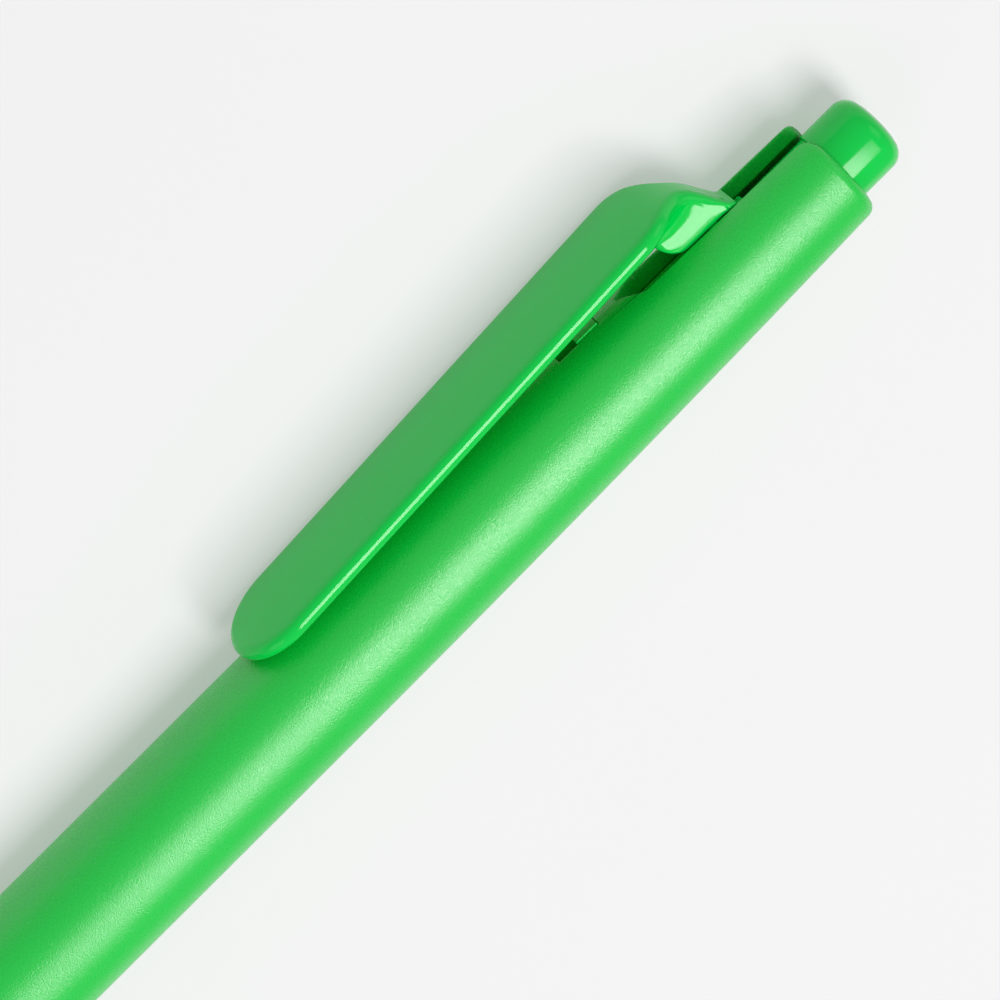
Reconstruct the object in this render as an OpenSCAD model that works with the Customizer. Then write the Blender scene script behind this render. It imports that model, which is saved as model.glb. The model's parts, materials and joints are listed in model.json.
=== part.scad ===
// Push-button highlighter, lying at rest on its barrel and on one corner of its clip.
// +X runs along the barrel towards the button, +Y out on the clip's side, +Z up from the table.
// Every module below draws in the pen's own frame, which in_pen() lays on the table:
// x is measured from the nose mouth, h outwards along the clip's direction, w across the clip.

/* [Barrel] */
// Radius of the straight part of the barrel
body_r = 6; // [5.8:0.1:6.4]
// Distance from the nose mouth to the rear rim
rim_x = 137; // [136:0.5:140]
// Distance from the nose mouth to the joint of the front section
joint_x = 36; // [34:0.5:38]
// Distance from the nose mouth to where the rear taper starts
taper_x = 71; // [70:0.5:71.5]
// Radius of the long arc that tapers the barrel to its rear rim
taper_arc_r = 2445; // [2350:5:2600]
// Radius of the long arc of the front section and the nose
nose_arc_r = 241; // [236:1:260]
// Rounding of the outer edge of the rear rim
rim_round = 0.9; // [0.5:0.1:1]

/* [Clip slot and window] */
// Width of the slot that the clip's arm stands in
slot_w = 3.86; // [3.8:0.02:4]
// Length of the slot at its full width, from the rim
slot_full_l = 18.5; // [18:0.5:19]
// Length over which the slot narrows to its end
slot_ogee_l = 3.3; // [3:0.1:3.4]
// Rounding of the slot's corners at the rim
slot_corner_r = 1.4; // [1:0.1:1.6]
// Distance from the rim to the rear end of the snap window
window_g = 23.6; // [23.4:0.1:24]
// Length of the snap window
window_l = 4.6; // [4.2:0.1:4.8]
// Width of the snap window
window_w = 1.8; // [1.7:0.05:1.9]

/* [Clip] */
// Width of the clip's paddle
clip_w = 11; // [10.6:0.1:11.2]
// Thickness of the clip's paddle
clip_t = 1.7; // [1.5:0.05:1.8]
// Distance from the rim to the clip's front tip
clip_tip_g = 64.5; // [62:0.5:66]
// Distance from the rim to where the outer face stops rising
hump_g = 16.6; // [16.4:0.1:16.8]
// Height of the outer face over the barrel's axis at the front tip
clip_tip_h = 8.08; // [8:0.01:8.2]
// Height of the outer face over the barrel's axis where it stops rising
hump_h = 10.55; // [10.5:0.01:10.65]
// Radius of the flat arc along the top of the hump
hump_r = 18; // [16:1:20]
// Radius of the tight arc that turns the hump down into the arm
turn_r = 1.9; // [1.8:0.05:2.1]
// Width of the arm that joins the clip to its sleeve
arm_w = 3.5; // [3.3:0.05:3.6]

/* [Push button] */
// Radius of the button where it shows behind the rim
button_r = 3.67; // [3.6:0.01:3.75]
// Length of the button that shows behind the rim
button_out = 5.2; // [5:0.1:5.6]
// Rounding of the button's end
button_round = 1.6; // [1.2:0.1:1.8]
// How far the button can be pressed
press_travel = 4.4; // [4:0.1:4.4]

/* [Cartridge] */
// Outer radius of the ink tube
tube_r = 4.3; // [4.2:0.05:4.35]
// Radius of the fibre nib
nib_r = 2.1; // [2:0.05:2.1]
// Length from the nose mouth back to the nib's point when it is drawn in
nib_inset = 0.5; // [0.3:0.1:0.8]

/* [Hidden] */

// Clearances between pieces that slide, and between pieces that are assembled tight.
slide_gap = 0.1;
snug_gap = 0.03;
assembly_gap = 0.05;
overcut = 1;
seam_overlap = 0.01;
round_fn = 96;
curve_steps = 8;

// Bores of the barrel, and the height that cuts on the clip's side start from.
cut_floor_h = 1;
socket_r = 5.3;
socket_l = 10;
front_bore_r = 4.55;
rear_bore_r = 3.9;
rear_bore_x = rim_x - 33.5;

// Snap joint between the barrel and the front section.
spigot_r = socket_r - assembly_gap;
spigot_l = socket_l - 0.5;
snap_x = joint_x + 7.4;
snap_h = 0.2;
snap_l = 0.6;
seal_x = joint_x + 2;
seal_l = 1.2;
seal_floor_r = 4.85;
seam_chamfer = 0.12;
taper_steps = 12;

// Nose.
nose_joint_x = 14;
nose_spigot_r = 4.3;
nose_spigot_l = 6;
mouth_r = 2.55;
mouth_l = 5;
mouth_round = 0.3;
chamber_r = 3.6;
spring_seat_x = 7;
spring_pass_r = 3.7;
stop_x = 21.8;

// Sleeve that carries the clip and the push mechanism.
sleeve_r = rear_bore_r - snug_gap;
sleeve_front_x = rim_x - 32;
sleeve_rear_x = rim_x - 7.6;
well_x = sleeve_rear_x - 5;
well_r = 3.5;
lip_l = 2;
cam_bore_r = 2.65;
groove_r = 3.25;
groove_w = 1.3;
groove_lead_l = 0.5;
groove_count = 4;
groove_phase = 45;
rib_front_x = rim_x - 27.5;
cam_slope_l = 1.2;
cam_slope_w = 3.4;
catch_l = 2.4;
catch_w = 1.7;
catch_h = 5.76;
tongue_w = 2.5;
tongue_slit = 0.3;
tongue_l = 9.2;

// Boss on the sleeve, with the socket that the clip's knuckle turns in.
pivot_x = rim_x - 11;
pivot_h = 4.35;
knuckle_r = 0.6;
boss_front_x = rim_x - 13.7;
boss_rear_x = rim_x - 8.6;
boss_h = 4.55;
boss_w = slot_w - 0.16;
boss_floor_h = 2.9;

// Clip.
clip_tip_x = rim_x - clip_tip_g;
hump_x = rim_x - hump_g;
clip_slope = atan2(hump_h - clip_tip_h, hump_x - clip_tip_x);
hump_centre = [hump_x + hump_r * sin(clip_slope), hump_h - hump_r * cos(clip_slope)];
turn_slope = 12;
turn_start = hump_centre + hump_r * [sin(turn_slope), cos(turn_slope)];
turn_centre = turn_start - turn_r * [sin(turn_slope), cos(turn_slope)];
arm_slope = 62;
arm_floor_h = 4.8;
arm_front_x = rim_x - 15.4;
arm_front_r = 3;
arm_foot_h = 5.7;
flare_end_x = rim_x - 7.6;
shoulder_full_x = rim_x - 17.4;
shoulder_steps = [[0, 0], [1, 0.07], [2, 0.27], [3, 0.78], [3.9, 1.47], [4.5, 2.1], [5, 2.7],
                  [5.4, 3.25], [5.8, 3.65], [6.3, 3.75]];
bead_under_x = clip_tip_x + 4.5;
bead_under_r = 0.8;
bead_under_w = 3.2;
bead_under_gap = 0.06;
neck_w = 1.4 * knuckle_r;

// Button, plunger and rotor.
button_step_x = rim_x - 0.5;
button_front_x = sleeve_rear_x - 0.4;
button_skirt_r = 3.45;
button_socket_r = 2.3;
button_socket_l = 9;
plunger_r = cam_bore_r - slide_gap;
fin_r = groove_r - slide_gap;
fin_w = groove_w - 2 * slide_gap;
fin_l = 4.7;
crown_x = rim_x - 21.5;
crown_teeth = 8;
crown_h = 0.9;
crown_gap = 0.15;
crown_reach = 0.2;
pin_bore_r = 1.45;
pin_bore_l = 6.5;
plunger_stem_l = 8.5;
fin_floor_h = 1.8;
rotor_r = 2.5;
rotor_front_x = rim_x - 27.1;
spline_l = 2.5;
spline_x = rib_front_x + press_travel - 0.5 - spline_l;
rotor_pin_r = 1.3;
rotor_pin_l = 4.5;
rotor_stem_r = 1.6;

// Cartridge.
holder_flange_x = 27;
flange_l = 1.5;
plug_r = 3.88;
tube_wall = 0.4;
tube_front_x = holder_flange_x + flange_l;
tube_rear_x = 97;
holder_plug_l = 4.5;
tail_plug_l = 4.5;
tail_socket_l = 4.5;
wrap_t = 0.1;
core_r = 3.74;
core_front_x = tube_front_x + holder_plug_l + 0.5;
core_rear_x = tube_rear_x - tail_plug_l - 0.5;
neck_r = mouth_r - slide_gap;
neck_front_x = 3.2;
shank_r = 2.75;
shank_front_x = 10.4;
neck_bevel_w = 0.4;
neck_bevel_l = 0.8;
nib_rear_x = core_front_x - 0.1;
chisel_l = 3.4;
chisel_under_l = 1.2;
chisel_tip_h = -0.5 * nib_r;

// Return spring, a helix with closed ends.
wire_r = 0.22;
coil_r = 3.2;
spring_front_x = spring_seat_x + wire_r;
spring_rear_x = holder_flange_x - wire_r;
spring_turns = 11;
closed_turns = 1;
closed_pitch = 2 * wire_r + 0.04;
wire_sides = 8;
ring_per_turn = 24;

// How the pen lies: on the barrel, and on the lower corner of the clip at its hump.
corner_reach = sqrt(hump_h * hump_h + clip_w * clip_w / 4);
tilt = asin(body_r / corner_reach) - atan2(clip_w / 2, hump_h);
total_l = rim_x + button_out;
clip_reach = hump_h * cos(tilt) + clip_w / 2 * sin(tilt);
axis_y = (body_r - clip_reach) / 2;

MATTE_GREEN = [0.13, 0.78, 0.27];
GLOSS_GREEN = [0.1, 0.72, 0.25];
NATURAL = [0.9, 0.91, 0.88];
STEEL = [0.72, 0.73, 0.75];
INK = [0.45, 0.95, 0.3];

// Moves the pen's own frame to the table.
module in_pen() {
    translate([-total_l / 2, axis_y, body_r]) rotate([-tilt, 0, 0]) children();
}

// A solid of revolution about the barrel's axis, from points [radius, x].
module turned(points) {
    rotate([0, 90, 0]) rotate_extrude($fn = round_fn) polygon(points);
}

// A plain cylinder about the barrel's axis.
module rod(r, x0, x1) {
    translate([x0, 0, 0]) rotate([0, 90, 0]) cylinder(r = r, h = x1 - x0, $fn = round_fn);
}

// A shape drawn in x and w, extruded outwards from height h0 to h1.
module raised(h0, h1) {
    translate([0, h1, 0]) rotate([90, 0, 0]) linear_extrude(height = h1 - h0) children();
}

// A side view drawn in x and h, extruded to the given width across the clip.
module slab(width) {
    translate([0, 0, -width / 2]) linear_extrude(height = width) children();
}

// Points of an arc about a centre, from angle a0 to a1.
function arc(centre, r, a0, a1, steps) =
    [for (i = [0:steps]) let (a = a0 + (a1 - a0) * i / steps) centre + r * [cos(a), sin(a)]];

// Fall of a circle of radius r at a distance d from where it is level.
function fall(r, d) = r - sqrt(max(0, r * r - d * d));

// Outer radius of the barrel's rear taper, and of the front section and nose.
function taper_r(x) = body_r - fall(taper_arc_r, max(0, x - taper_x));
function nose_r(x) = body_r - fall(nose_arc_r, joint_x - x);

// Half the width of the slot at x.
function slot_half(x) =
    let (corner_x = rim_x - slot_corner_r)
    let (full_x = rim_x - slot_full_l)
    x > corner_x ? slot_w / 2 + fall(slot_corner_r, min(x, rim_x) - corner_x) :
    x > full_x ? slot_w / 2 :
    slot_w / 4 * (1 + cos(180 * (full_x - x) / slot_ogee_l));

module slot_outline() {
    tip_x = rim_x - slot_full_l - slot_ogee_l;
    corner_x = rim_x - slot_corner_r;
    ogee = [for (i = [0:10]) tip_x + 0.15 + (slot_ogee_l - 0.15) * i / 10];
    corner = [for (i = [0:6]) corner_x + slot_corner_r * sin(15 * i)];
    xs = concat(ogee, corner, [rim_x + overcut]);
    last = len(xs) - 1;
    polygon(concat([for (x = xs) [x, slot_half(x)]],
                   [for (i = [last:-1:0]) [xs[i], -slot_half(xs[i])]]));
}

module barrel() {
    rim_r = taper_r(rim_x);
    taper_l = rim_x - rim_round - taper_x;
    outline = concat(
        [[0, joint_x], [body_r - seam_chamfer, joint_x], [body_r, joint_x + seam_chamfer]],
        [for (i = [0:taper_steps]) let (x = taper_x + taper_l * i / taper_steps) [taper_r(x), x]],
        arc([rim_r - rim_round, rim_x - rim_round], rim_round, 5, 90, 6),
        [[0, rim_x]]);
    color(MATTE_GREEN) in_pen() difference() {
        turned(outline);
        rod(socket_r, joint_x - overcut, joint_x + socket_l);
        rod(front_bore_r, joint_x, rear_bore_x);
        rod(rear_bore_r, rear_bore_x - overcut, rim_x + overcut);
        turned(snap_points(snap_h + assembly_gap, assembly_gap));
        raised(cut_floor_h, body_r + overcut) slot_outline();
        raised(cut_floor_h, body_r + overcut)
            translate([rim_x - window_g - window_l, -window_w / 2]) square([window_l, window_w]);
    }
}

// Section of the snap bead, and of the groove it drops into when it is grown a little.
function snap_points(height, grow) = [
    [seal_floor_r, snap_x - snap_l - grow],
    [spigot_r, snap_x - snap_l - grow],
    [spigot_r + height, snap_x - snap_l / 3 - grow],
    [spigot_r + height, snap_x + snap_l / 3 + grow],
    [spigot_r, snap_x + snap_l + grow],
    [seal_floor_r, snap_x + snap_l + grow]];

module front_section() {
    span = joint_x - seam_chamfer - nose_joint_x;
    outline = concat(
        [[0, nose_joint_x]],
        [for (i = [0:curve_steps]) let (x = nose_joint_x + span * i / curve_steps) [nose_r(x), x]],
        [[body_r - seam_chamfer, joint_x], [spigot_r, joint_x], [spigot_r, joint_x + spigot_l],
         [0, joint_x + spigot_l]]);
    color(MATTE_GREEN) in_pen() difference() {
        union() {
            turned(outline);
            turned(snap_points(snap_h, 0));
        }
        rod(nose_spigot_r + assembly_gap, nose_joint_x - overcut, nose_joint_x + nose_spigot_l + 0.2);
        rod(spring_pass_r, nose_joint_x, stop_x + overcut);
        rod(front_bore_r, stop_x, joint_x + spigot_l + overcut);
        turned([[seal_floor_r, seal_x], [socket_r + overcut, seal_x],
                [socket_r + overcut, seal_x + seal_l], [seal_floor_r, seal_x + seal_l]]);
    }
}

module nose_cone() {
    front_r = nose_r(0);
    span = nose_joint_x - seam_chamfer - mouth_round;
    outline = concat(
        [[0, 0]],
        arc([front_r - mouth_round, mouth_round], mouth_round, -90, -10, 5),
        [for (i = [0:curve_steps]) let (x = mouth_round + span * i / curve_steps) [nose_r(x), x]],
        [[nose_r(nose_joint_x) - seam_chamfer, nose_joint_x], [nose_spigot_r, nose_joint_x],
         [nose_spigot_r, nose_joint_x + nose_spigot_l], [0, nose_joint_x + nose_spigot_l]]);
    color(MATTE_GREEN) in_pen() difference() {
        turned(outline);
        rod(mouth_r, -overcut, mouth_l + overcut);
        turned([[0, mouth_l], [mouth_r, mouth_l], [chamber_r, spring_seat_x], [0, spring_seat_x]]);
        rod(chamber_r, spring_seat_x - seam_overlap, nose_joint_x + nose_spigot_l + overcut);
    }
}

module seal_ring() {
    inner_r = seal_floor_r + snug_gap / 3;
    outer_r = socket_r - snug_gap / 3;
    edge = (outer_r - inner_r) / 2;
    mid_r = (inner_r + outer_r) / 2;
    outline = concat(
        arc([mid_r, seal_x + assembly_gap + edge], edge, 180, 360, curve_steps),
        arc([mid_r, seal_x + seal_l - assembly_gap - edge], edge, 0, 180, curve_steps));
    color("dimgray") in_pen() turned(outline);
}

// Repeats a shape at each guide groove of the sleeve.
module at_grooves(phase) {
    for (i = [0:groove_count - 1])
        rotate([phase + 360 / groove_count * i, 0, 0]) children();
}

module clip_sleeve() {
    color(GLOSS_GREEN) in_pen() difference() {
        union() {
            rod(sleeve_r, sleeve_front_x, sleeve_rear_x);
            raised(boss_floor_h, boss_h) translate([boss_front_x, -boss_w / 2])
                square([boss_rear_x - boss_front_x, boss_w]);
            raised(boss_floor_h, catch_h)
                translate([rim_x - window_g - catch_l - assembly_gap, -catch_w / 2])
                    square([catch_l, catch_w]);
        }
        rod(cam_bore_r, sleeve_front_x - overcut, well_x + overcut);
        rod(groove_r, sleeve_front_x - overcut, rib_front_x);
        rod(well_r, well_x, sleeve_rear_x + overcut);
        at_grooves(groove_phase)
            raised(cut_floor_h, groove_r) translate([rib_front_x - groove_lead_l, -groove_w / 2])
                square([well_x - lip_l - rib_front_x + groove_lead_l, groove_w]);
        intersection() {
            rod(groove_r, rib_front_x - overcut, rib_front_x + cam_slope_l);
            at_grooves(0)
                raised(cut_floor_h, groove_r)
                    polygon([[rib_front_x - seam_overlap, -cam_slope_w / 2],
                             [rib_front_x + cam_slope_l, -cam_slope_w / 2],
                             [rib_front_x - seam_overlap, cam_slope_w / 2]]);
        }
        for (side = [-1, 1])
            raised(cut_floor_h, sleeve_r + overcut)
                translate([sleeve_front_x - overcut, side * tongue_w / 2 - tongue_slit / 2])
                    square([tongue_l + overcut, tongue_slit]);
        translate([pivot_x, pivot_h, 0])
            cylinder(r = knuckle_r + assembly_gap, h = slot_w + overcut, center = true, $fn = round_fn);
    }
}

// The clip's curve seen from the side, drawn in from the outer face by a depth.
function clip_curve(depth) = concat(
    [[clip_tip_x, clip_tip_h] + depth * [sin(clip_slope), -cos(clip_slope)]],
    arc(hump_centre, hump_r - depth, 90 + clip_slope, 90 - turn_slope, curve_steps),
    arc(turn_centre, turn_r - depth, 90 - turn_slope, 90 - arm_slope, curve_steps));

// Side view of the paddle and its hump, an even wall along one curve.
module clip_shell_view() {
    inner = clip_curve(clip_t);
    last = len(inner) - 1;
    polygon(concat(clip_curve(0), [for (i = [last:-1:0]) inner[i]]));
}

// Plan of the clip: round at the tip, and drawn in behind the hump to the width of the arm.
module clip_plan() {
    front = arc([clip_tip_x + clip_w / 2, 0], clip_w / 2, 90, 270, 3 * curve_steps);
    near = [for (p = shoulder_steps) [shoulder_full_x + p[0], p[1] - clip_w / 2]];
    last = len(near) - 1;
    tail = [[flare_end_x, -arm_w / 2], [flare_end_x, arm_w / 2]];
    polygon(concat(front, near, tail, [for (i = [last:-1:0]) [near[i][0], -near[i][1]]]));
}

// Side view of the arm, from inside the hump down to the slot, with a flare behind its foot.
module clip_arm_view() {
    mid = clip_curve(clip_t / 2);
    top = [for (i = [1:len(mid) - 1]) mid[i]];
    turn_end = turn_centre + turn_r * [sin(arm_slope), cos(arm_slope)];
    foot = turn_end + (turn_end[1] - arm_foot_h) / tan(arm_slope) * [1, 0]
        - [0, turn_end[1] - arm_foot_h];
    front = arc([arm_front_x + arm_front_r, arm_floor_h + arm_front_r], arm_front_r, 240, 180,
                curve_steps);
    polygon(concat([[arm_front_x + 2.2, arm_floor_h]], front,
                   [[arm_front_x, hump_h - clip_t - 0.1]], top,
                   [turn_end, foot, [flare_end_x, arm_floor_h + 0.1], [flare_end_x, arm_floor_h]]));
}

module clip() {
    bead_h0 = body_r + bead_under_gap + bead_under_r;
    color(GLOSS_GREEN) in_pen() union() {
        intersection() {
            slab(clip_w + overcut) clip_shell_view();
            raised(0, hump_h + overcut) clip_plan();
        }
        slab(arm_w) clip_arm_view();
        translate([bead_under_x, bead_h0, 0])
            cylinder(r = bead_under_r, h = bead_under_w, center = true, $fn = round_fn);
        translate([pivot_x - neck_w / 2, pivot_h, -arm_w / 2])
            cube([neck_w, arm_floor_h - pivot_h + 0.1, arm_w]);
        translate([pivot_x, pivot_h, 0])
            cylinder(r = knuckle_r, h = arm_w, center = true, $fn = round_fn);
    }
}

module button() {
    end_x = rim_x + button_out;
    outline = concat(
        [[0, button_front_x], [button_skirt_r, button_front_x], [button_skirt_r, button_step_x],
         [button_r - 0.1, button_step_x], [button_r, button_step_x + 0.1]],
        arc([button_r - button_round, end_x - button_round], button_round, 0, 90, 8),
        [[0, end_x]]);
    color(GLOSS_GREEN) in_pen() difference() {
        turned(outline);
        rod(button_socket_r, button_front_x - overcut, button_front_x + button_socket_l);
    }
}

// Points of the crown, as wedges that stand out backwards from x.
module crown_wedges(x) {
    half_w = (plunger_r + assembly_gap) * tan(180 / crown_teeth);
    for (i = [0:crown_teeth - 1])
        rotate([360 / crown_teeth * i, 0, 0])
            raised(0, plunger_r + crown_reach) polygon([[x, -half_w], [x + crown_h, 0], [x, half_w]]);
}

module plunger() {
    fin_x = well_x - lip_l - fin_l;
    color(NATURAL) in_pen() difference() {
        union() {
            rod(plunger_r, crown_x, button_front_x - seam_overlap);
            rod(button_socket_r - snug_gap, button_front_x - overcut,
                button_front_x + plunger_stem_l);
            at_grooves(groove_phase)
                raised(fin_floor_h, fin_r) translate([fin_x, -fin_w / 2]) square([fin_l, fin_w]);
        }
        rod(pin_bore_r, crown_x - overcut, crown_x + pin_bore_l);
        translate([-seam_overlap, 0, 0]) crown_wedges(crown_x);
    }
}

module rotor() {
    head_rear_x = crown_x - crown_gap;
    color(NATURAL) in_pen() union() {
        rod(rotor_r, rotor_front_x, head_rear_x);
        intersection() {
            crown_wedges(head_rear_x - seam_overlap);
            rod(rotor_r, head_rear_x - overcut, head_rear_x + crown_h + overcut);
        }
        at_grooves(groove_phase)
            raised(fin_floor_h, fin_r) translate([spline_x, -fin_w / 2]) square([spline_l, fin_w]);
        rod(rotor_pin_r, rotor_front_x, head_rear_x + rotor_pin_l);
        rod(rotor_stem_r, tube_rear_x + flange_l - tail_socket_l + 0.3, rotor_front_x + seam_overlap);
    }
}

// Distance along the spring after a number of turns: closed at both ends, open between.
function spring_at(turn) =
    let (length = spring_rear_x - spring_front_x)
    let (open = (length - 2 * closed_turns * closed_pitch) / (spring_turns - 2 * closed_turns))
    turn < closed_turns ? turn * closed_pitch :
    turn < spring_turns - closed_turns ? closed_turns * closed_pitch + (turn - closed_turns) * open :
    length - (spring_turns - turn) * closed_pitch;

module return_spring() {
    rings = spring_turns * ring_per_turn;
    points = [for (i = [0:rings]) for (k = [0:wire_sides - 1])
        let (turn = i / ring_per_turn, a = 360 * turn, b = 360 * k / wire_sides)
        let (r = coil_r + wire_r * cos(b))
        [spring_front_x + spring_at(turn) + wire_r * sin(b), r * cos(a), r * sin(a)]];
    walls = [for (i = [0:rings - 1]) for (k = [0:wire_sides - 1])
        let (near = i * wire_sides, far = near + wire_sides, next = (k + 1) % wire_sides)
        [near + k, near + next, far + next, far + k]];
    first = [for (k = [wire_sides - 1:-1:0]) k];
    last = [for (k = [0:wire_sides - 1]) rings * wire_sides + k];
    color(STEEL) in_pen() polyhedron(points, concat(walls, [first, last]), convexity = 10);
}

module tail_plug() {
    color(NATURAL) in_pen() difference() {
        union() {
            rod(plug_r, tube_rear_x - tail_plug_l, tube_rear_x + seam_overlap);
            rod(tube_r, tube_rear_x, tube_rear_x + flange_l);
        }
        rod(rotor_stem_r + snug_gap, tube_rear_x + flange_l - tail_socket_l,
            tube_rear_x + flange_l + overcut);
    }
}

module ink_tube() {
    color(NATURAL, 0.6) in_pen() difference() {
        rod(tube_r, tube_front_x, tube_rear_x);
        rod(tube_r - tube_wall, tube_front_x - overcut, tube_rear_x + overcut);
    }
}

module reservoir_wrap() {
    outer_r = tube_r - tube_wall - snug_gap;
    color("white", 0.5) in_pen() difference() {
        rod(outer_r, core_front_x, core_rear_x);
        rod(outer_r - wrap_t, core_front_x - overcut, core_rear_x + overcut);
    }
}

module ink_core() {
    color(INK) in_pen() rod(core_r, core_front_x, core_rear_x);
}

module nib_holder() {
    outline = [[0, neck_front_x], [neck_r - neck_bevel_w, neck_front_x],
               [neck_r, neck_front_x + neck_bevel_l],
               [neck_r, shank_front_x], [shank_r, shank_front_x + neck_bevel_w], [shank_r, holder_flange_x],
               [tube_r, holder_flange_x], [tube_r, tube_front_x], [plug_r, tube_front_x],
               [plug_r, tube_front_x + holder_plug_l], [0, tube_front_x + holder_plug_l]];
    color(NATURAL) in_pen() difference() {
        turned(outline);
        rod(nib_r + snug_gap / 2, neck_front_x - overcut, tube_front_x + holder_plug_l + overcut);
    }
}

module nib() {
    color(INK) in_pen() difference() {
        rod(nib_r, nib_inset, nib_rear_x);
        slab(3 * nib_r)
            polygon([[nib_inset - overcut, 2 * nib_r], [nib_inset - overcut, chisel_tip_h],
                     [nib_inset, chisel_tip_h], [nib_inset + chisel_l, nib_r],
                     [nib_inset + chisel_l, 2 * nib_r]]);
        slab(3 * nib_r)
            polygon([[nib_inset - overcut, -2 * nib_r], [nib_inset + chisel_under_l, -2 * nib_r],
                     [nib_inset, chisel_tip_h], [nib_inset - overcut, chisel_tip_h]]);
    }
}

barrel();
front_section();
nose_cone();
seal_ring();
clip_sleeve();
clip();
button();
plunger();
rotor();
return_spring();
tail_plug();
ink_tube();
reservoir_wrap();
ink_core();
nib_holder();
nib();
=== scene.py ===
"""A push-button highlighter lying on a table, built round its packed CAD frame."""

import json
import math

import bpy
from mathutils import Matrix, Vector


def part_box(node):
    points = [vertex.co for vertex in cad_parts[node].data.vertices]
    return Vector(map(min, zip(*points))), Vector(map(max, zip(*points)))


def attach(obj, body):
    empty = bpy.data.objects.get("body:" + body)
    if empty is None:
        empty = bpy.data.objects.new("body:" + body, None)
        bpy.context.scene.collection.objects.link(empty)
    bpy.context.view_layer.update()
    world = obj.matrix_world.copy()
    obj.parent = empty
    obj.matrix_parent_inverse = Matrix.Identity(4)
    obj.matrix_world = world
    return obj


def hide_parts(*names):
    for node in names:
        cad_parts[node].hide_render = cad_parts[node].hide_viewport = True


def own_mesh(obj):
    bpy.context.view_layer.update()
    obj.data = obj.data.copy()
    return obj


bl_info = {
    "name": "Push-button highlighter",
    "version": (1, 0, 0),
    "blender": (4, 5, 0),
    "location": "View3D > Sidebar > Highlighter",
    "description": "Models a push-button highlighter piece by piece round its CAD frame",
    "category": "Object",
}

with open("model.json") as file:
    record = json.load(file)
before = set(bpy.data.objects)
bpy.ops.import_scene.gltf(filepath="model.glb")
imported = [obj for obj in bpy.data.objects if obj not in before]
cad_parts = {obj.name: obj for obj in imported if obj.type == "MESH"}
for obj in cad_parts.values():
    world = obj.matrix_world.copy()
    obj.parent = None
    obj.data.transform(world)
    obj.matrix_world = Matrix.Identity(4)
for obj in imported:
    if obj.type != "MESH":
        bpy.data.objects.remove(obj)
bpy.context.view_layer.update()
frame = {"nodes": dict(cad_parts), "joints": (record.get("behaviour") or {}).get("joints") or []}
MM = 0.001
TOUCH = 0.001 * MM              # two points this near count as one
WELD = 0.0005 * MM              # points nearer than this are merged
DETAIL = 128                    # steps round a full turn
SMOOTH_ANGLE = 35.0             # edges sharper than this, in degrees, stay sharp
CLIP_SMOOTH_ANGLE = 50.0        # the same for the clip's skin
NOISE_LOW, NOISE_HIGH = 0.3, 0.7    # where nearly all of a noise pattern's values lie


def joint(name):
    """The packed record's joint of that name."""
    return next(j for j in frame["joints"] if j["name"] == name)


# The pen's own frame: x runs along the barrel, out points along the clip, across lies over it.
BARREL_LOW, BARREL_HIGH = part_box("barrel")
NOSE_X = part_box("nose_cone")[0].x
RIM_X = BARREL_HIGH.x
END_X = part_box("button")[1].x
BODY_R = (BARREL_HIGH.z - BARREL_LOW.z) / 2
AXIS = Vector((0, (BARREL_LOW.y + BARREL_HIGH.y) / 2, (BARREL_LOW.z + BARREL_HIGH.z) / 2))
ACROSS = -Vector(joint("clip_flex")["axis"]).normalized()
OUT = ACROSS.cross(Vector((1, 0, 0))).normalized()
PIVOT = Vector(joint("clip_flex")["pos_m"])
PIVOT_OUT = (PIVOT - AXIS).dot(OUT)


def place(x, out, across=0.0):
    """A point of the pen's own frame, in the row frame."""
    return Vector((x, AXIS.y, AXIS.z)) + out * OUT + across * ACROSS


def length(name, text, default):
    """A length property, with its default in millimetres."""
    return bpy.props.FloatProperty(
        name=name, description=text, default=default * MM, min=0.0, unit="LENGTH", precision=5)


def slope(name, text, default):
    """An angle property, with its default in degrees."""
    return bpy.props.FloatProperty(
        name=name, description=text, default=math.radians(default), min=0.0, subtype="ANGLE")


def tint(name, text, default):
    """A colour property."""
    return bpy.props.FloatVectorProperty(
        name=name, description=text, default=default, min=0.0, max=1.0, size=3, subtype="COLOR")


class BarrelSizes(bpy.types.PropertyGroup):
    """Sizes of the barrel, the front section and the nose"""
    taper_start: length("Taper start", "Distance from the rim to where the taper starts", 66)
    rim_radius: length("Rim radius", "Outer radius at the rear rim", 5.11)
    rim_round: length("Rim rounding", "Rounding of the rim's outer edge", 0.9)
    edge_round: length("Edge rounding", "Small rounding of the slot's and the window's edges", 0.13)
    slot_width: length("Slot width", "Width of the slot that the clip's arm stands in", 3.86)
    slot_full: length("Slot length", "Length of the slot at its full width", 18.5)
    slot_ogee: length("Slot ogee", "Length over which the slot narrows to its end", 3.3)
    slot_corner: length("Slot corner", "Rounding of the slot's corners at the rim", 1.4)
    window_gap: length("Window distance", "Distance from the rim to the snap window", 23.6)
    window_length: length("Window length", "Length of the snap window", 4.6)
    window_width: length("Window width", "Width of the snap window", 1.8)
    rear_bore: length("Rear bore", "Radius of the bore behind the cartridge", 3.9)
    front_bore: length("Front bore", "Radius of the bore round the cartridge", 4.55)
    socket_bore: length("Socket bore", "Radius of the socket at the front joint", 5.3)
    mouth_bore: length("Mouth bore", "Radius of the mouth that the nib comes out of", 2.55)
    mouth_radius: length("Mouth radius", "Outer radius at the nose's mouth", 3.3)
    seam_round: length("Seam rounding", "Rounding of the edges that meet at a seam", 0.14)


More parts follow.
